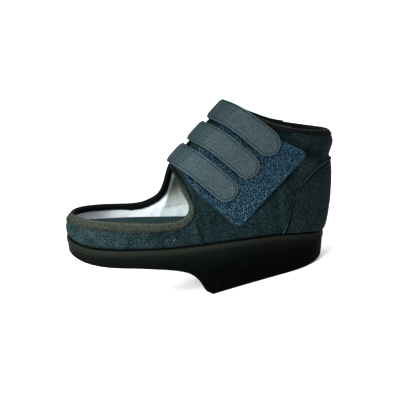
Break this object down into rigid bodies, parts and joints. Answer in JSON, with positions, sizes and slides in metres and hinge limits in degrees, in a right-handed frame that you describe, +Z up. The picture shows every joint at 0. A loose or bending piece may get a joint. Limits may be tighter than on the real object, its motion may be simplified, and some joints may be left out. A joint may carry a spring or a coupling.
{
  "type": "shoe",
  "caption": "Open-toed recovery shoe with a wedge sole, closed heel and three straps that close on a loop patch, left foot.",
  "frame": {"origin": "bottom centre of the bounding box, on the floor that the wedge stands on", "axes": "+X from toe to heel, +Y from the lateral to the medial side, +Z up with the shoe tipped back on its wedge"},
  "size_m": [0.2906, 0.1006, 0.183],
  "materials": {
    "sole_rubber": "moulded, satin",
    "footbed_fabric": "brushed cloth over foam",
    "upper_fabric": "matt brushed cloth over foam",
    "binding_tape": "woven tape",
    "loop_fabric": "fuzzy loops",
    "strap_webbing": "brushed hook-and-loop strap"
  },
  "bodies": {
    "root": {"outsole": "sole_rubber", "insole": "footbed_fabric", "upper": "upper_fabric", "heel_counter": "upper_fabric", "edge_binding": "binding_tape", "loop_patch": "loop_fabric", "strap_lower": "strap_webbing", "strap_middle": "strap_webbing", "strap_upper": "strap_webbing"}
  },
  "joints": []
}
